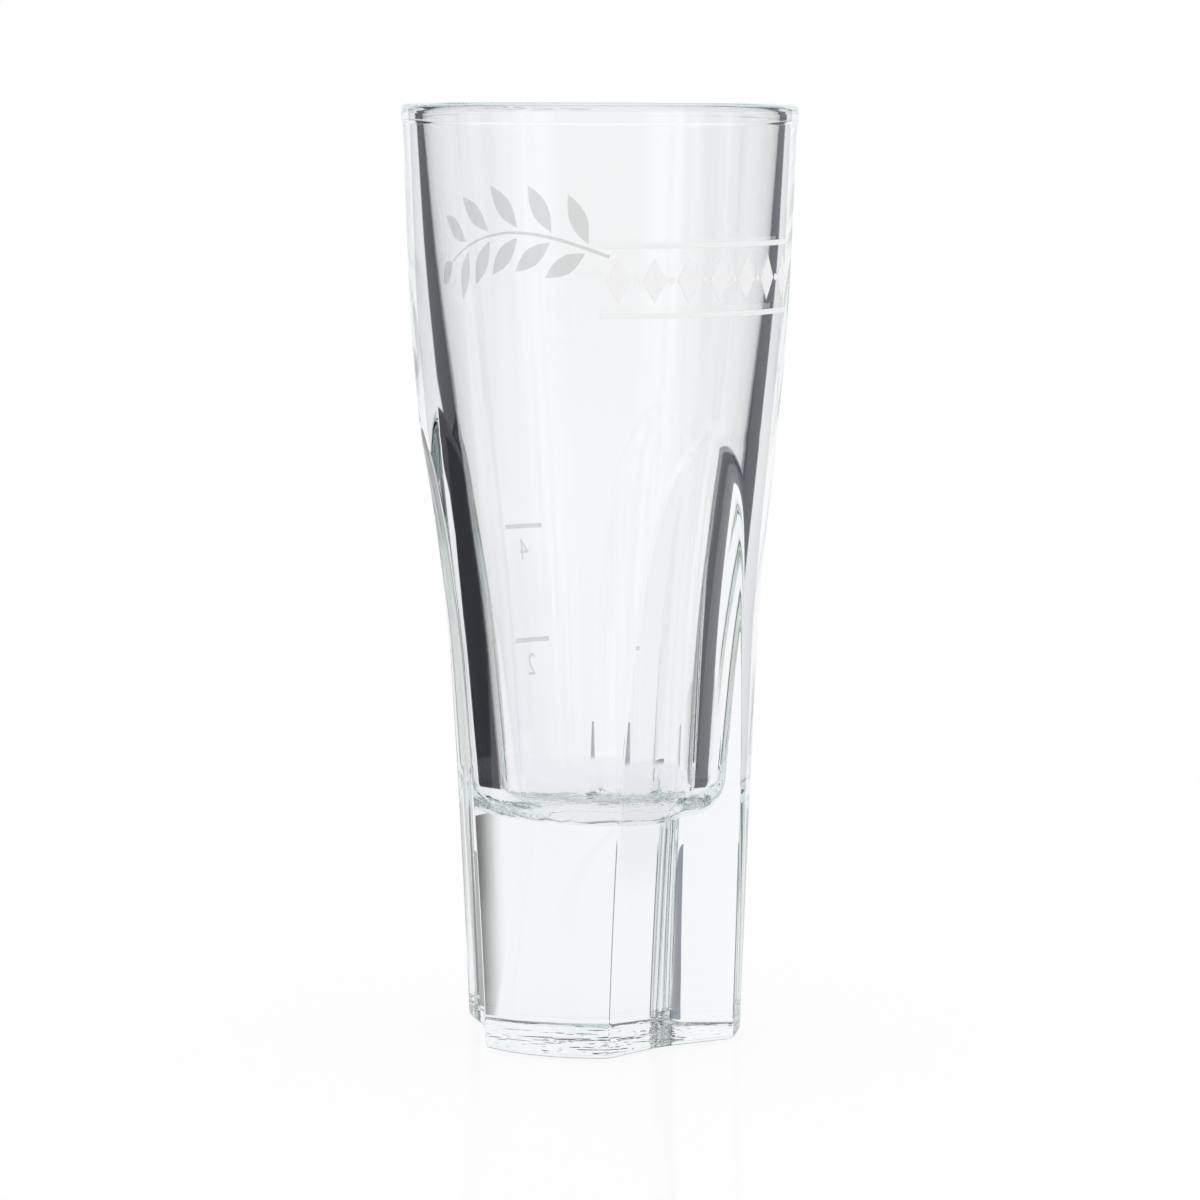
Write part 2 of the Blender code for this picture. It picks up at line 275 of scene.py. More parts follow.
@dataclass(frozen=True)
class PaintedShadeSheet:
    """Glowing grey sheet that paints dark bands and reflections into the glass, seen only in the glass.

    Attributes:
        name: Name of the material.
        tone: Colour of the painted glow.
        shade: How bright the painted glow is.
        mirrored: Whether it paints a reflection seen only through the glass and in the tabletop's mirror.
        first_turn: Limit between no turn of the light and one.
        last_turn: Number of turns after which the light misses the sheet.
    """

    name: str
    tone: Colour
    shade: float
    mirrored: bool = False
    first_turn: float = 0.5
    last_turn: float = 12.5

    def material(self) -> bpy.types.Material:
        """Make the sheet's glowing material, open where its cover runs out.

        Returns:
            The material.
        """
        made = bpy.data.materials.new(self.name)
        made.use_nodes = True
        tree = made.node_tree
        tree.nodes.remove(tree.nodes["Principled BSDF"])
        # The emission paints the shade and reflections that the glass shows; the camera and diffuse light
        # never see it.
        glow = add_node(made, "ShaderNodeEmission", Color=self.tone, Strength=self.shade)
        clear = add_node(made, "ShaderNodeBsdfTransparent")
        mix = add_node(made, "ShaderNodeMixShader")
        cover = add_node(made, "ShaderNodeAttribute", attribute_name="cover")
        path = add_node(made, "ShaderNodeLightPath")
        sights = [path.outputs["Is Singular Ray"]]
        limits = [
            ("Diffuse Depth", "LESS_THAN", self.first_turn),
            ("Ray Depth", "LESS_THAN", self.last_turn),
        ]
        if self.mirrored:
            sights.append(path.outputs["Is Reflection Ray"])
            limits.append(("Transmission Depth", "GREATER_THAN", self.first_turn))
        for turns, operation, limit in limits:
            test = add_node(made, "ShaderNodeMath", operation=operation)
            test.inputs[1].default_value = limit
            tree.links.new(path.outputs[turns], test.inputs[0])
            sights.append(test.outputs["Value"])
        factor = cover.outputs["Fac"]
        for seen in sights:
            both = add_node(made, "ShaderNodeMath", operation="MULTIPLY")
            tree.links.new(factor, both.inputs[0])
            tree.links.new(seen, both.inputs[1])
            factor = both.outputs["Value"]
        tree.links.new(factor, mix.inputs["Fac"])
        tree.links.new(clear.outputs["BSDF"], mix.inputs[1])
        tree.links.new(glow.outputs["Emission"], mix.inputs[2])
        tree.links.new(mix.outputs["Shader"], tree.nodes["Material Output"].inputs["Surface"])
        return made


@dataclass(frozen=True)
class ChillRipple:
    """Wavy chill marks with rounded crests and sharp creases, in metres."""

    depth: float
    size: float
    seed: float
    drift_rate: float = 0.7
    drift_reach: float = 0.9
    gain: float = 2.0
    fine_rate: float = 2.3
    crest_share: float = 0.65

    def at(self, x: float, y: float) -> float:
        """Depth of the marks at a point.

        Args:
            x: Place along X.
            y: Place along Y.

        Returns:
            The depth, from none to the whole.
        """
        place = Vector((x / self.size, y / self.size, self.seed))
        drift = noise.noise(place * self.drift_rate) * self.drift_reach
        bent = Vector((place.x + drift, place.y - drift, self.seed))
        crest = min(abs(noise.noise(bent)) * self.gain, 1.0)
        fine = min(abs(noise.noise(bent * self.fine_rate)) * self.gain, 1.0)
        return self.depth * (self.crest_share * math.sqrt(crest) + (1 - self.crest_share) * math.sqrt(fine))


@dataclass(frozen=True)
class RowCounts:
    """How many rows of points each stretch of the glass's surface is laid out with."""

    floor: int = 46
    corner: int = 18
    inside: int = 64
    lip: int = 19
    bead: int = 31
    upper: int = 28
    tip: int = 46
    lower: int = 70
    edge: int = 7
    base: int = 74


@dataclass
class PressedGlass:
    """The glass itself, with lengths in metres and angles in radians."""

    height: float = 0.142
    base_radius: float = 0.02205
    draft: float = math.radians(2.1)
    flare_width: float = 0.0026
    flare_start: float = 0.056
    flare_length: float = 0.061
    base_edge: float = 0.0009
    base_calm: float = 0.05
    lip_wall: float = 0.00268
    wall_swell: float = 0.0003
    swell_height: float = 0.098
    swell_reach: float = 0.024
    cavity_lean_floor: float = 0.00085
    cavity_lean_lip: float = 0.00012
    cavity_lean_turn: float = math.radians(-37.7)
    lip_bead: float = 0.0002
    lip_bead_height: float = 0.0030
    lip_bead_shoulder: float = 0.0005
    lip_square: float = 3.2
    lip_inner_round: float = 0.0013
    floor_thickness: float = 0.035
    floor_corner: float = 0.0052
    floor_dish: float = 0.001
    flutes: int = 3
    flute_height: float = 0.092
    flute_depth: float = 0.005
    flute_run_out: float = 0.97
    flank_slope: float = math.radians(8)
    valley_base: float = 0.020
    valley_tip: float = 0.003
    flute_web: float = 0.0026
    arris_round: float = 0.00018
    arris_least: float = math.radians(5)
    arris_spread: float = math.radians(32)
    spread_start: float = 0.002
    spread_length: float = 0.03
    tip_round: float = 0.0002
    tip_round_start: float = 0.062
    tip_round_length: float = 0.03
    tip_over: float = 0.008
    tip_under: float = 0.014
    flank_columns: int = 30
    lobe_columns: int = 20
    pole_share: float = 0.03
    counts: RowCounts = RowCounts()
    floor_ripple: ChillRipple = ChillRipple(depth=0.00045, size=0.0042, seed=3.0)
    base_ripple: ChillRipple = ChillRipple(depth=0.00024, size=0.0034, seed=11.0)
    finish: ClearGlass = ClearGlass()

    def outer_radius(self, z: Number) -> Number:
        """Radius of the round lobes at a height."""
        flare = smoothstep((z - self.flare_start) / self.flare_length)
        return self.base_radius + z * math.tan(self.draft) + self.flare_width * flare

    def depth(self, z: Number) -> Number:
        """Depth of the flute valley under the lobes.

        Args:
            z: Height.

        Returns:
            The depth, negative above the flute's tip.
        """
        share = np.maximum(z / self.flute_height, 0.0)
        last = math.sqrt(1 - self.flute_run_out ** 2)
        ellipse = np.sqrt(1 - np.minimum(share, self.flute_run_out) ** 2)
        past = np.maximum(share - self.flute_run_out, 0.0)
        return self.flute_depth * (ellipse - past * self.flute_run_out / last)

    def wall(self, z: Number) -> Number:
        """Radial wall of the lobes.

        Args:
            z: Height.

        Returns:
            The wall, with its slight swell.
        """
        floor_wall = self.depth(self.floor_thickness) + self.flute_web
        swell = np.maximum(1 - ((z - self.swell_height) / self.swell_reach) ** 2, 0.0) ** 2
        return floor_wall + (self.lip_wall - floor_wall) * self.rise(z) + self.wall_swell * swell

    def rise(self, z: Number) -> Number:
        """Height over the cavity floor, as a share of the cavity's depth."""
        return (z - self.floor_thickness) / (self.height - self.floor_thickness)

    def inner_radius(self, z: Number) -> Number:
        """Radius of the cavity at a height."""
        return self.outer_radius(z) - self.wall(z)

    def valley_radius(self, z: Number) -> Number:
        """Radius of the valley's rounding at a height, sharper towards the flute's tip."""
        left = np.clip(1 - z / self.flute_height, 0.0, 1.0)
        return self.valley_tip + (self.valley_base - self.valley_tip) * left ** 2

    def flank_start(self, z: Number) -> tuple[Number, Number]:
        """Half width of the valley's rounding at a height, and its rise there."""
        radius = self.valley_radius(z)
        return radius * math.sin(self.flank_slope), radius * (1 - math.cos(self.flank_slope))

    def arris_angle(self, z: float) -> float:
        """Angle from a flute's centre to its arris.

        Args:
            z: Height.

        Returns:
            The angle, zero above the flute.
        """
        half, rise = self.flank_start(z)
        slope = math.tan(self.flank_slope)
        lobe = float(self.outer_radius(z))
        foot = lobe - float(self.depth(z)) + rise - half * slope
        under = (foot * slope) ** 2 - (1 + slope ** 2) * (foot ** 2 - lobe ** 2)
        across = (math.sqrt(max(under, 0.0)) - foot * slope) / (1 + slope ** 2)
        return math.asin(min(max(across / lobe, 0.0), 1.0))

    def surface_radius(self, turn: np.ndarray, z: np.ndarray) -> np.ndarray:
        """Outer radius with flutes and the lip's bead.

        Args:
            turn: Angle from the nearest flute's centre, without sign.
            z: Height.

        Returns:
            The radius, with the arrises rounded, more so towards the flutes' tips.
        """
        half, rise = self.flank_start(z)
        rounding = self.valley_radius(z)
        slope = math.tan(self.flank_slope)
        lobe = self.outer_radius(z)
        valley = lobe - self.depth(z)
        flank = (valley + rise - half * slope) / (np.cos(turn) - np.sin(turn) * slope)
        centre = valley + rounding
        under = np.maximum(rounding ** 2 - (centre * np.sin(turn)) ** 2, 0.0)
        fillet = centre * np.cos(turn) - np.sqrt(under)
        flute = np.where(flank * np.sin(turn) < half, fillet, flank)
        near_tip = smoothstep((z - self.tip_round_start) / self.tip_round_length)
        soft = self.arris_round + self.tip_round * near_tip
        blend = np.maximum(soft - np.abs(lobe - flute), 0.0) / soft
        bead = self.lip_bead * smoothstep((z - self.height + self.lip_bead_height) / self.lip_bead_shoulder)
        return np.minimum(lobe, flute) - blend ** 2 * soft / 4 + bead

    def columns(self, z: float) -> np.ndarray:
        """Angles of the mesh columns, gathered at the arrises.

        Args:
            z: Height.

        Returns:
            The angles, from -Y round once.
        """
        arris = max(self.arris_angle(z), self.arris_least)
        past_tip = smoothstep((z - self.flute_height - self.spread_start) / self.spread_length)
        arris += (self.arris_spread - arris) * float(past_tip)
        sector = math.pi / self.flutes
        flank = arris * (1 - np.cos(np.linspace(0, math.pi, self.flank_columns + 1))) / 2
        quarter = np.linspace(0, math.pi / 2, self.lobe_columns + 1)[1:]
        lobe = arris + (sector - arris) * (1 - np.cos(quarter))
        half = np.concatenate([flank, lobe])
        whole = np.concatenate([half, 2 * sector - half[-2:0:-1]])
        return np.concatenate([whole + 2 * sector * i for i in range(self.flutes)])

    def from_flute(self, turn: np.ndarray) -> np.ndarray:
        """Angle from the nearest flute's centre, without sign."""
        sector = 2 * math.pi / self.flutes
        return np.abs(np.mod(turn + sector / 2, sector) - sector / 2)

    def ring(self, turn: np.ndarray, radius: np.ndarray, z: float) -> np.ndarray:
        """Points round the axis, from -Y, at one height."""
        world = turn + Facing.FRONT.value
        return np.stack([radius * np.cos(world), radius * np.sin(world), np.full_like(turn, z)], axis=1)

    def outside_points(self, turn: np.ndarray, z: float) -> np.ndarray:
        """Points of the outer surface at a height."""
        return self.ring(turn, self.surface_radius(self.from_flute(turn), np.full_like(turn, z)), z)

    def outside_normals(self, turn: np.ndarray, z: float) -> np.ndarray:
        """Normals of the outer surface, from small steps both ways.

        Args:
            turn: Angles from -Y.
            z: Height.

        Returns:
            A normal for each angle.
        """
        step_turn, step_z = 2e-4, 1e-5
        across = self.outside_points(turn + step_turn, z) - self.outside_points(turn - step_turn, z)
        up = self.outside_points(turn, z + step_z) - self.outside_points(turn, z - step_z)
        normal = np.cross(across, up)
        return normal / np.linalg.norm(normal, axis=1)[:, None]

    def cavity_rows(self) -> list[Row]:
        """Rows of the cavity, from the middle of its floor up to the lip.

        Returns:
            Zone, radius and height of each row.
        """
        corner_z = self.floor_thickness + self.floor_corner
        corner_x = float(self.inner_radius(corner_z)) - self.floor_corner
        rows: list[Row] = []
        for share in np.linspace(self.pole_share, 1, self.counts.floor)[:-1]:
            dish = self.floor_dish * (1 - share ** 2)
            rows.append((Zone.FLOOR, corner_x * share, self.floor_thickness - dish))
        for angle in np.radians(np.linspace(-90, 0, self.counts.corner)):
            x = corner_x + self.floor_corner * math.cos(angle)
            rows.append((Zone.CORNER, x, corner_z + self.floor_corner * math.sin(angle)))
        for z in np.linspace(corner_z, self.height - self.lip_inner_round, self.counts.inside)[1:-1]:
            rows.append((Zone.INSIDE, float(self.inner_radius(z)), z))
        return rows

    def lip_rows(self) -> list[Row]:
        """Rows of the lip, round inside and squarer outside.

        Returns:
            Zone, radius and height of each row.
        """
        half = self.lip_wall / 2
        lip_z = self.height - half
        lip_x = float(self.inner_radius(lip_z) + self.outer_radius(lip_z)) / 2
        round_z = self.height - self.lip_inner_round
        round_x = float(self.inner_radius(round_z))
        rows: list[Row] = []
        for angle in np.radians(np.linspace(0, 90, self.counts.lip))[:-1]:
            x = lip_x - (lip_x - round_x) * math.cos(angle)
            rows.append((Zone.LIP, x, round_z + self.lip_inner_round * math.sin(angle)))
        for angle in np.radians(np.linspace(90, 0, self.counts.lip)):
            across = max(math.cos(angle), 0.0) ** (2 / self.lip_square)
            up = max(math.sin(angle), 0.0) ** (2 / self.lip_square)
            rows.append((Zone.LIP, lip_x + (half + self.lip_bead) * across, lip_z + half * up))
        return rows

    def outside_rows(self) -> list[Row]:
        """Rows of the outer wall, closer at the lip's bead and at the flutes' tips.

        Returns:
            Zone, an unused zero and height of each row.
        """
        lip_z = self.height - self.lip_wall / 2
        bead_z = lip_z - self.lip_bead_height
        over, under = self.flute_height + self.tip_over, self.flute_height - self.tip_under
        heights = np.concatenate([
            np.linspace(lip_z, bead_z, self.counts.bead)[1:-1],
            np.linspace(bead_z, over, self.counts.upper)[:-1],
            np.linspace(over, under, self.counts.tip)[:-1],
            np.linspace(under, self.base_edge, self.counts.lower),
        ])
        return [(Zone.OUTSIDE, 0.0, z) for z in heights]

    def base_rows(self) -> list[Row]:
        """Rows of the base's rounded edge and of the underside, to its middle.

        Returns:
            Zone, inset or share of the radius, and height of each row.
        """
        rows: list[Row] = []
        for angle in np.radians(np.linspace(0, 90, self.counts.edge))[1:]:
            inset = self.base_edge * (1 - math.cos(angle))
            rows.append((Zone.EDGE, inset, self.base_edge * (1 - math.sin(angle))))
        for share in np.linspace(1, self.pole_share, self.counts.base)[1:]:
            rows.append((Zone.BASE, share, 0.0))
        return rows

    def lean(self, zone: Zone, size: float, z: float) -> np.ndarray:
        """How far the cavity stands off the axis at a row, as the plunger left it.

        Args:
            zone: Which stretch of the surface the row is on.
            size: Radius of the row.
            z: Height.

        Returns:
            The sideways shift, none on the edge and base, and less across the lip.
        """
        if zone in (Zone.EDGE, Zone.BASE):
            return np.zeros(3)
        shift = self.cavity_lean_floor + (self.cavity_lean_lip - self.cavity_lean_floor) * self.rise(z)
        if zone is Zone.LIP:
            inner = float(self.inner_radius(self.height - self.lip_wall / 2))
            shift *= min(max(1 - (size - inner) / self.lip_wall, 0.0), 1.0)
        return shift * np.array([math.cos(self.cavity_lean_turn), math.sin(self.cavity_lean_turn), 0.0])

    def row_points(self, zone: Zone, size: float, z: float) -> tuple[np.ndarray, np.ndarray | None]:
        """Points of one row.

        Args:
            zone: Which stretch of the surface the row is on.
            size: Radius, inset or share, as the zone needs.
            z: Height.

        Returns:
            An array of points round the axis, and their normals where they follow a formula.
        """
        turn = self.columns(z)
        if zone is Zone.OUTSIDE:
            return self.outside_points(turn, z), self.outside_normals(turn, z)
        radius = np.full_like(turn, size)
        if zone in (Zone.EDGE, Zone.BASE):
            foot = self.surface_radius(self.from_flute(turn), np.full_like(turn, self.base_edge))
            radius = foot - size if zone is Zone.EDGE else (foot - self.base_edge) * size
        points = self.ring(turn, radius, z)
        if zone in (Zone.FLOOR, Zone.CORNER):
            calm = max(0.0, 1 - max(z - self.floor_thickness, 0.0) / self.floor_corner)
            for point in points:
                point[2] -= calm * self.floor_ripple.at(point[0], point[1])
        if zone is Zone.BASE:
            calm = float(smoothstep((1 - size) / self.base_calm))
            for point in points:
                point[2] += calm * self.base_ripple.at(point[0], point[1])
        return points + self.lean(zone, size, z), None

    def mesh(self) -> bpy.types.Mesh:
        """Join the rows into one closed mesh with exact normals on its outside.

        Returns:
            The mesh.
        """
        layout = self.cavity_rows() + self.lip_rows() + self.outside_rows() + self.base_rows()
        rows = [self.row_points(*row) for row in layout]
        wide = len(rows[0][0])
        corners = np.concatenate([points for points, _ in rows])
        poles = [tuple(float(v) for v in rows[i][0].mean(axis=0)) for i in (0, -1)]
        faces: list[tuple[int, ...]] = []
        ring = np.arange(wide)
        after = np.roll(ring, -1)
        for row in range(len(rows) - 1):
            low, high = row * wide, (row + 1) * wide
            faces += zip(low + ring, low + after, high + after, high + ring)
        end = (len(rows) - 1) * wide
        faces += [(len(corners), j, i) for i, j in zip(ring, after)]
        faces += [(len(corners) + 1, end + i, end + j) for i, j in zip(ring, after)]
        made = bpy.data.meshes.new("pressed_glass")
        points = [tuple(corner) for corner in corners] + poles
        made.from_pydata(points, [], [tuple(int(i) for i in face) for face in faces])
        shape = bmesh.new()
        shape.from_mesh(made)
        bmesh.ops.recalc_face_normals(shape, faces=shape.faces)
        shape.to_mesh(made)
        shape.free()
        made.shade_smooth()
        normals = np.array([normal.vector for normal in made.vertex_normals])
        for i, (_, exact) in enumerate(rows):
            if exact is not None:
                normals[i * wide:(i + 1) * wide] = exact
        made.normals_split_custom_set_from_vertices([tuple(normal) for normal in normals])
        return made

    def build(self) -> bpy.types.Object:
        """Make the fine glass surface, and put it in the place of the plain solid.

        Returns:
            The finished glass.
        """
        mesh = self.mesh()
        mesh.materials.append(self.finish.material())
        made = link_object("pressed_glass", mesh)
        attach(made, "root")
        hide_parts("glass_body")
        LOG.info("pressed_glass: %d points", len(mesh.vertices))
        return made


@dataclass
class EnamelMark:
    """A group of fired enamel patches on the outer wall."""

    glass: PressedGlass
    finish: bpy.types.Material
    facing: Facing
    half_body: float = 0.00002
    edge_round: float = 0.00003
    edge_steps: int = 1
    sunk: float = 0.00002
    step: float = 0.0006
    merge: float = 1e-7
    sharp: float = math.radians(50)

    def outline_curve(self, name: str, outline: Outline) -> bpy.types.Curve:
        """Make a closed flat outline as a curve.

        Args:
            name: Name of the curve.
            outline: Its points.

        Returns:
            The curve.
        """
        curve = bpy.data.curves.new(name, "CURVE")
        curve.dimensions = "2D"
        spline = curve.splines.new("POLY")
        spline.points.add(len(outline) - 1)
        for point, (x, y) in zip(spline.points, outline):
            point.co = (x, y, 0.0, 1.0)
        spline.use_cyclic_u = True
        return curve

    def flat_patch(self, curve: bpy.types.Curve) -> bmesh.types.BMesh:
        """Fill a flat curve as a thin layer with rounded edges, sliced finely enough to bend.

        Args:
            curve: Closed outline, or a numeral.

        Returns:
            The layer, flat in the XY plane.
        """
        curve.fill_mode = "BOTH"
        curve.extrude = self.half_body
        curve.bevel_depth = self.edge_round
        curve.bevel_resolution = self.edge_steps
        curve.offset = -self.edge_round
        holder = bpy.data.objects.new("outline", curve)
        bpy.context.scene.collection.objects.link(holder)
        graph = bpy.context.evaluated_depsgraph_get()
        flat = bpy.data.meshes.new_from_object(holder.evaluated_get(graph))
        shape = bmesh.new()
        shape.from_mesh(flat)
        bpy.data.objects.remove(holder)
        bpy.data.meshes.remove(flat)
        bmesh.ops.remove_doubles(shape, verts=shape.verts, dist=self.merge)
        for axis in (0, 1):
            places = [vert.co[axis] for vert in shape.verts]
            normal = [float(axis == i) for i in range(3)]
            for line in range(math.floor(min(places) / self.step) + 1, math.ceil(max(places) / self.step)):
                whole = shape.verts[:] + shape.edges[:] + shape.faces[:]
                spot = [line * self.step * n for n in normal]
                bmesh.ops.bisect_plane(shape, geom=whole, dist=self.merge, plane_co=spot, plane_no=normal)
        return shape

    def lay(self, node: str, curve: bpy.types.Curve, height: float) -> bpy.types.Object:
        """Fire one patch onto the wall in the place of its plain solid.

        Args:
            node: Name of the plain solid.
            curve: Flat outline.
            height: Height of the outline's origin.

        Returns:
            The finished patch.
        """
        shape = self.flat_patch(curve)
        bearing = float(self.glass.outer_radius(height))
        rest = self.half_body + self.edge_round - self.sunk
        for vert in shape.verts:
            across, up, out = vert.co
            turn = self.facing.value + across / bearing
            radius = float(self.glass.outer_radius(height + up)) + rest + out
            vert.co = (radius * math.cos(turn), radius * math.sin(turn), height + up)
        bmesh.ops.triangulate(shape, faces=shape.faces)
        bmesh.ops.recalc_face_normals(shape, faces=shape.faces)
        mesh = bpy.data.meshes.new(f"{node}_enamel")
        shape.to_mesh(mesh)
        shape.free()
        mesh.shade_smooth()
        mesh.set_sharp_from_angle(angle=self.sharp)
        mesh.materials.append(self.finish)
        made = link_object(f"{node}_enamel", mesh)
        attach(made, "root")
        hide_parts(node)
        LOG.info("%s: %d points", made.name, len(mesh.vertices))
        return made

    def lay_all(self, outlines: dict[str, Outline], height: float) -> None:
        """Fire each outline onto the wall, by the name of its plain solid."""
        for node, outline in outlines.items():
            self.lay(node, self.outline_curve(node, outline), height)


@dataclass
class FrontBorder(EnamelMark):
    """Two rules with a row of lozenges and dots between them."""

    facing: Facing = Facing.FRONT
    drop: float = 0.0254
    length: float = 0.038
    height: float = 0.011
    rule_width: float = 0.0008
    lozenges: int = 7
    lozenge_width: float = 0.0038
    lozenge_height: float = 0.0066
    dot_radius: float = 0.0005
    dot_steps: int = 24

    def bar(self, y: float) -> Outline:
        """Outline of a rule at a height over the border's middle."""
        across, up = self.length / 2, self.rule_width / 2
        return [(-across, y - up), (across, y - up), (across, y + up), (-across, y + up)]

    def lozenge(self, x: float) -> Outline:
        """Outline of an upright lozenge."""
        across, up = self.lozenge_width / 2, self.lozenge_height / 2
        return [(x, -up), (x + across, 0.0), (x, up), (x - across, 0.0)]

    def dot(self, x: float) -> Outline:
        """Outline of a round dot."""
        turns = np.linspace(0, 2 * math.pi, self.dot_steps, endpoint=False)
        return [(x + self.dot_radius * math.cos(turn), self.dot_radius * math.sin(turn)) for turn in turns]

    def build(self) -> None:
        """Lay the rules, lozenges and dots."""
        rule_y = (self.height - self.rule_width) / 2
        outlines = {"front_rule_upper": self.bar(rule_y), "front_rule_lower": self.bar(-rule_y)}
        pitch = self.length / self.lozenges
        first = -pitch * (self.lozenges - 1) / 2
        for i in range(self.lozenges):
            outlines[f"front_lozenge_{i + 1}"] = self.lozenge(first + i * pitch)
        for i in range(self.lozenges - 1):
            outlines[f"front_dot_{i + 1}"] = self.dot(first + (i + 0.5) * pitch)
        self.lay_all(outlines, self.glass.height - self.drop)


@dataclass
class RearSprig(EnamelMark):
    """An arched stem with leaf pairs and an end leaf."""

    facing: Facing = Facing.REAR
    drop: float = 0.0236
    length: float = 0.0355
    shift: float = 0.0027
    rise: float = 0.004
    stem_width: float = 0.0006
    stem_steps: int = 31
    leaf_pairs: int = 5
    leafed_share: float = 0.9
    leaf_length: float = 0.0085
    leaf_width: float = 0.003
    leaf_lean: float = math.radians(48)
    leaf_gap: float = 0.0005
    leaf_steps: int = 20

    def stem_point(self, share: float) -> tuple[float, float]:
        """Point of the arched centre line, from its foot at 0 to its end at 1."""
        return (share - 0.5) * self.length - self.shift, self.rise * (math.sin(math.pi * share) - 0.5)

    def heading(self, share: float) -> float:
        """Direction of the centre line."""
        return math.atan2(self.rise * math.pi * math.cos(math.pi * share), self.length)

    def stem(self) -> Outline:
        """Outline of the stem, narrowing to its end.

        Returns:
            The points of the outline.
        """
        upper: Outline = []
        lower: Outline = []
        for share in np.linspace(0, 1, self.stem_steps):
            x, y = self.stem_point(share)
            half = self.stem_width / 2 * (1 - share / 2)
            turn = self.heading(share)
            upper.append((x - half * math.sin(turn), y + half * math.cos(turn)))
            lower.append((x + half * math.sin(turn), y - half * math.cos(turn)))
        return lower + upper[::-1]

    def leaf(self, root: tuple[float, float], heading: float) -> Outline:
        """Outline of a pointed leaf.

        Args:
            root: Where it starts.
            heading: Where it points, in radians.

        Returns:
            The points of the outline.
        """
        outline: Outline = []
        there = np.linspace(0, 1, self.leaf_steps, endpoint=False)
        for side, shares in ((-1, there), (1, 1 - there)):
            for share in shares:
                along = self.leaf_length * share
                across = side * self.leaf_width / 2 * math.sin(math.pi * share)
                x = root[0] + along * math.cos(heading) - across * math.sin(heading)
                y = root[1] + along * math.sin(heading) + across * math.cos(heading)
                outline.append((x, y))
        return outline

    def build(self) -> None:
        """Lay the stem and its leaves."""
        outlines = {"rear_stem": self.stem()}
        stand_off = (self.stem_width / 2 + self.leaf_gap) / math.sin(self.leaf_lean)
        for pair in range(self.leaf_pairs):
            share = (pair + 0.5) / self.leaf_pairs * self.leafed_share
            x, y = self.stem_point(share)
            for label, side in (("upper", 1), ("lower", -1)):
                turn = self.heading(share) + side * self.leaf_lean
                root = (x + stand_off * math.cos(turn), y + stand_off * math.sin(turn))
                outlines[f"rear_leaf_{label}_{pair + 1}"] = self.leaf(root, turn)
        x, y = self.stem_point(1.0)
        turn = self.heading(1.0)
        root = (x + self.leaf_gap * math.cos(turn), y + self.leaf_gap * math.sin(turn))
        outlines["rear_leaf_end"] = self.leaf(root, turn)
        self.lay_all(outlines, self.glass.height - self.drop)


@dataclass
class FillMarks(EnamelMark):
    """Fill lines at the heights of their solids, each with its numeral under it."""

    facing: Facing = Facing.REAR
    digits: tuple[str, ...] = ("4", "2")
    line_length: float = 0.0095
    line_width: float = 0.0007
    numeral_height: float = 0.0034
    numeral_gap: float = 0.0012
    numeral_share: float = 0.7
    numeral_steps: int = 6

    def numeral(self, name: str, digit: str) -> bpy.types.Curve:
        """Make a plain numeral, centred under its top edge.

        Args:
            name: Name of the curve.
            digit: The numeral, which fills a share of its type's size.

        Returns:
            The curve.
        """
        curve = bpy.data.curves.new(name, "FONT")
        curve.body = digit
        curve.size = self.numeral_height / self.numeral_share
        curve.align_x = "CENTER"
        curve.align_y = "TOP"
        curve.resolution_u = self.numeral_steps
        return curve

    def build(self) -> None:
        """Lay the lines and numerals."""
        across, up = self.line_length / 2, self.line_width / 2
        bar = [(-across, -up), (across, -up), (across, up), (-across, up)]
        for digit in self.digits:
            line = f"fill_line_{digit}cl"
            low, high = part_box(line)
            height = (low.z + high.z) / 2
            self.lay(line, self.outline_curve(line, bar), height)
            numeral = f"fill_numeral_{digit}"
            self.lay(numeral, self.numeral(numeral, digit), height - up - self.numeral_gap)


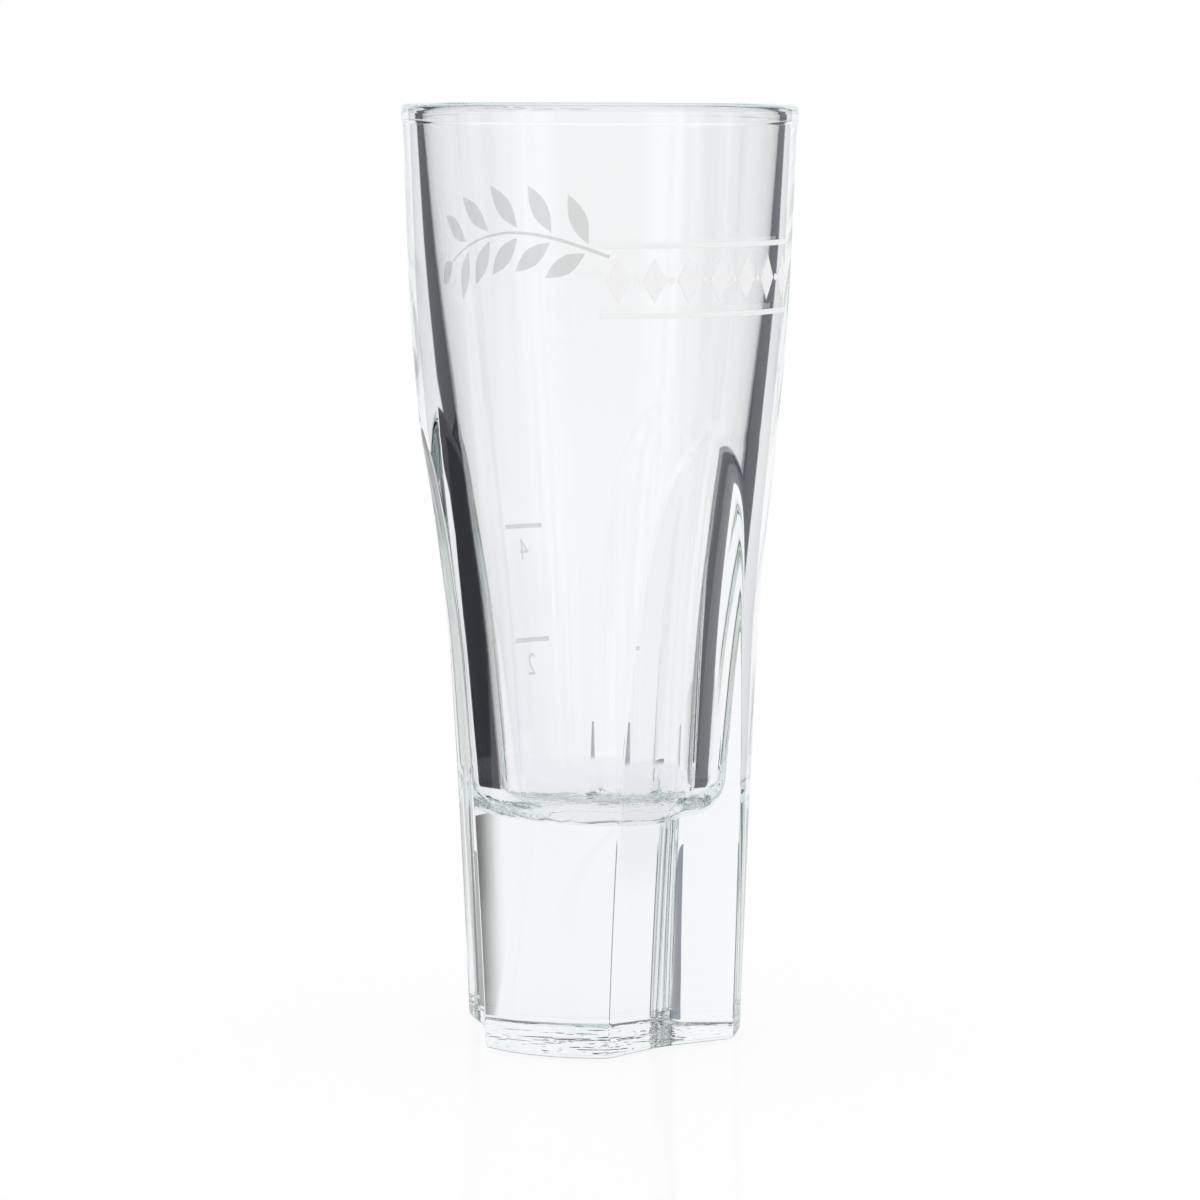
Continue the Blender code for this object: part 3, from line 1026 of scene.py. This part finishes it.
@dataclass(frozen=True)
class Flag:
    """A curved glowing sheet on the camera's rig, round the glass, that paints shade and reflections into
    the glass.

    Attributes:
        name: Name of the flag.
        reach: Distance from the axis.
        rows: Heights, and the angles of both ends there, in degrees from straight behind the glass, positive
            to the right.
        shade: How bright the painted glow is.
        soft: Widths in degrees over which the left and the right end fade.
        mirrored: Whether it paints a reflection seen only through the glass and in the tabletop's mirror.
        tone: Colour of the painted glow.
        foot: Height over which it fades in from the tabletop.
        columns: Number of points in a row.
    """

    name: str
    reach: float
    rows: tuple[tuple[float, float, float], ...]
    shade: float
    soft: tuple[float, float] = (1.5, 1.5)
    mirrored: bool = False
    tone: Colour = BLUISH_GLOW
    foot: float = 0.0
    columns: int = 61

    def sheet_rows(self) -> list[tuple[float, float, float, float]]:
        """Rows of the sheet, with one more where its foot ends.

        Returns:
            Height, distance from the axis, and the angles of both ends, for each row.
        """
        rows = [(z, self.reach, first, last) for z, first, last in self.rows]
        if self.foot:
            rows.insert(1, (self.foot, *rows[0][1:]))
        return rows

    def mesh(self, behind: float) -> bpy.types.Mesh:
        """Make the flag's sheet, with its cover at each point.

        Args:
            behind: Direction straight behind the glass, in radians.

        Returns:
            The sheet's mesh.
        """
        share = np.linspace(0, 1, self.columns)
        verts, covers = [], []
        rows = self.sheet_rows()
        for z, reach, first, last in rows:
            angles = first + (last - first) * share
            left, right = (angles - first) / self.soft[0], (last - angles) / self.soft[1]
            covers.append(smoothstep(left) * smoothstep(right))
            for turn in behind - np.radians(angles):
                verts.append((reach * math.cos(turn), reach * math.sin(turn), z))
        if self.foot:
            covers[0] = np.zeros(self.columns)
        faces = []
        for row in range(len(rows) - 1):
            for i in range(self.columns - 1):
                low = row * self.columns + i
                faces.append((low, low + 1, low + self.columns + 1, low + self.columns))
        made = bpy.data.meshes.new(self.name)
        made.from_pydata(verts, [], faces)
        cover = made.attributes.new("cover", "FLOAT", "POINT")
        cover.data.foreach_set("value", np.concatenate(covers).astype(np.float32))
        # The sheet's glow paints shade and reflections into the glass; its cover fades the painted glow at
        # the ends.
        made.materials.append(PaintedShadeSheet(self.name, self.tone, self.shade, self.mirrored).material())
        return made


@dataclass(frozen=True)
class PaintedShadeCeiling(Flag):
    """A level glowing sheet over the glass, which paints dark reflections into it and starts close to the
    axis.
    """

    start: float = 0.001

    def sheet_rows(self) -> list[tuple[float, float, float, float]]:
        """Rows of the sheet, from close to the axis out to its reach."""
        ((z, first, last),) = self.rows
        return [(z, reach, first, last) for reach in (self.start, self.reach)]


def upright(first: float, last: float, top: float) -> tuple[tuple[float, float, float], ...]:
    """Rows of a flag with upright ends, from the tabletop to its top."""
    return (0.0, first, last), (top, first, last)


def edge_flags() -> list[Flag]:
    """Make the glowing sheets behind and beside the glass, which paint dark bands into its edges.

    Returns:
        The near sheets, and the low ones whose painted reflection the tabletop's mirror shows.
    """
    near, far, low_top, foot = 0.1, 0.3, 0.3, 0.006
    left = (
        (0.0, -104, -48), (0.045, -104, -48.7), (0.06, -104, -56),
        (0.07, -104, -56), (0.08, -104, -49.2), (0.4, -104, -49.2),
    )
    right = (0.0, 44, 104), (0.04, 43, 104), (0.06, 46, 104), (0.08, 48, 104), (0.4, 48, 104)
    low_left, low_right = upright(-70, -26.2, low_top), upright(24, 70, low_top)
    # Painted shade: dark glowing sheets that give the glass its dark edge bands, and a grey painted
    # reflection in the tabletop.
    return [
        Flag("left_flag", near, left, shade=0.038, foot=foot),
        Flag("right_flag", near, right, shade=0.1, foot=foot),
        Flag("low_left_flag", far, low_left, shade=0.3, soft=(1.0, 0.6), mirrored=True),
        Flag("low_right_flag", far, low_right, shade=0.16, soft=(14.0, 1.0), mirrored=True, tone=PALE_GLOW),
    ]


def front_flags() -> list[Flag]:
    """Make the glowing sheets on the camera's side, the same on its left and right, and the one overhead,
    which paint grey streaks and dark reflections into the glass.

    Returns:
        The sheets, from the right round to the left, and the ceiling.
    """
    far, top, foot = 0.3, 0.5, 0.04
    stands = (
        (104, 121, 0.3, (1.0, 4.0)),
        (126, 132, 0.45, (2.0, 2.0)),
        (146, 214, 0.6, (8.0, 8.0)),
        (228, 234, 0.45, (2.0, 2.0)),
        (239, 256, 0.3, (4.0, 1.0)),
    )
    # Painted shade and reflections: grey glowing sheets that the glass shows as streaks and darker rims.
    made: list[Flag] = []
    for i, (first, last, shade, soft) in enumerate(stands, start=1):
        rows = upright(first, last, top)
        made.append(Flag(f"front_flag_{i}", far, rows, shade, soft, tone=PALE_GLOW, foot=foot))
    made.append(PaintedShadeCeiling("top_flag", reach=0.8, rows=((top, 0, 372),), shade=0.06, tone=PALE_GLOW))
    return made


def studio_flags() -> list[Flag]:
    """All glowing sheets that paint shade and reflections into the glass, those at its edges first."""
    return edge_flags() + front_flags()


@dataclass
class Studio:
    """White tabletop, soft light, glowing sheets that paint dark bands and reflections into the glass, and
    the camera of the photograph.
    """

    azimuth: float = -37.7
    distance: float = 0.690
    eye_height: float = 0.147
    pitch: float = 6.642
    focal_pixels: float = 4549.0
    frame_pixels: float = 1200.0
    sensor_width: float = 36.0
    clip_start: float = 0.01
    axis_shift: float = 0.00027
    roll: float = 0.2
    floor_radius: float = 12.0
    floor_sides: int = 96
    floor_drop: float = 0.00002
    surround: Colour = (0.97, 0.975, 0.99, 1.0)
    light_turns: int = 40
    floor_finish: PaleFloor = PaleFloor()
    flags: list[Flag] = field(default_factory=studio_flags)

    def camera(self) -> bpy.types.Object:
        """Place the camera as the photograph was taken.

        Returns:
            The camera.
        """
        data = bpy.data.cameras.new("camera")
        data.sensor_width = self.sensor_width
        data.lens = data.sensor_width * self.focal_pixels / self.frame_pixels
        data.clip_start = self.clip_start
        made = bpy.data.objects.new("camera", data)
        bpy.context.scene.collection.objects.link(made)
        turn = math.radians(self.azimuth)
        right = Vector((math.cos(turn), math.sin(turn), 0.0))
        back = Vector((math.sin(turn), -math.cos(turn), 0.0))
        place = back * self.distance + right * self.axis_shift + Vector((0, 0, self.eye_height))
        aim = (
            Matrix.Rotation(turn, 4, "Z")
            @ Matrix.Rotation(math.radians(90 - self.pitch), 4, "X")
            @ Matrix.Rotation(math.radians(self.roll), 4, "Z")
        )
        made.matrix_world = Matrix.Translation(place) @ aim
        bpy.context.scene.camera = made
        return made

    def floor(self) -> None:
        """Lay the tabletop."""
        bpy.ops.mesh.primitive_circle_add(
            vertices=self.floor_sides, radius=self.floor_radius, fill_type="NGON"
        )
        made = bpy.context.object
        made.name = "tabletop"
        made.location.z = -self.floor_drop
        made.data.materials.append(self.floor_finish.material())

    def stand(self, flag: Flag, camera: bpy.types.Object) -> None:
        """Stand a glowing sheet on the camera's rig, hidden from the camera, diffuse light and shadows, so
        that it only paints shade and reflections into the glass.

        Args:
            flag: The flag.
            camera: Camera whose rig it stands on.
        """
        mesh = flag.mesh(math.radians(90 + self.azimuth))
        made = link_object(flag.name, mesh)
        # Only the glass sees the sheet, as painted shade and reflections.
        made.visible_camera = False
        made.visible_diffuse = False
        made.visible_shadow = False
        made.parent = camera
        made.matrix_parent_inverse = camera.matrix_world.inverted()

    def light(self) -> None:
        """Light the set evenly with a white surround, a little greyer where the glass shows it."""
        world = bpy.data.worlds.new("white_surround")
        bpy.context.scene.world = world
        world.use_nodes = True
        tree = world.node_tree
        path = add_node(world, "ShaderNodeLightPath")
        either = add_node(world, "ShaderNodeMath", operation="MAXIMUM")
        tone = add_node(world, "ShaderNodeMixRGB", Color1=WHITE, Color2=self.surround)
        tree.links.new(path.outputs["Is Transmission Ray"], either.inputs[0])
        tree.links.new(path.outputs["Is Glossy Ray"], either.inputs[1])
        tree.links.new(either.outputs["Value"], tone.inputs["Fac"])
        tree.links.new(tone.outputs["Color"], tree.nodes["Background"].inputs["Color"])

    def build(self) -> None:
        """Set up the studio."""
        camera = self.camera()
        self.floor()
        self.light()
        for flag in self.flags:
            self.stand(flag, camera)
        paths = bpy.context.scene.cycles
        paths.max_bounces = paths.glossy_bounces = paths.transmission_bounces = self.light_turns
        bpy.context.scene.view_settings.view_transform = "Standard"


def main() -> None:
    """Dress the glass and set up its studio."""
    logging.basicConfig(level=logging.INFO, format="%(name)s: %(message)s")
    glass = PressedGlass()
    glass.build()
    FrontBorder(glass, FiredEnamel().material()).build()
    thin = FiredEnamel("thin_white_enamel", cover=0.24).material()
    for mark in (RearSprig, FillMarks):
        mark(glass, thin).build()
    Studio().build()


if __name__ == "__main__":
    main()
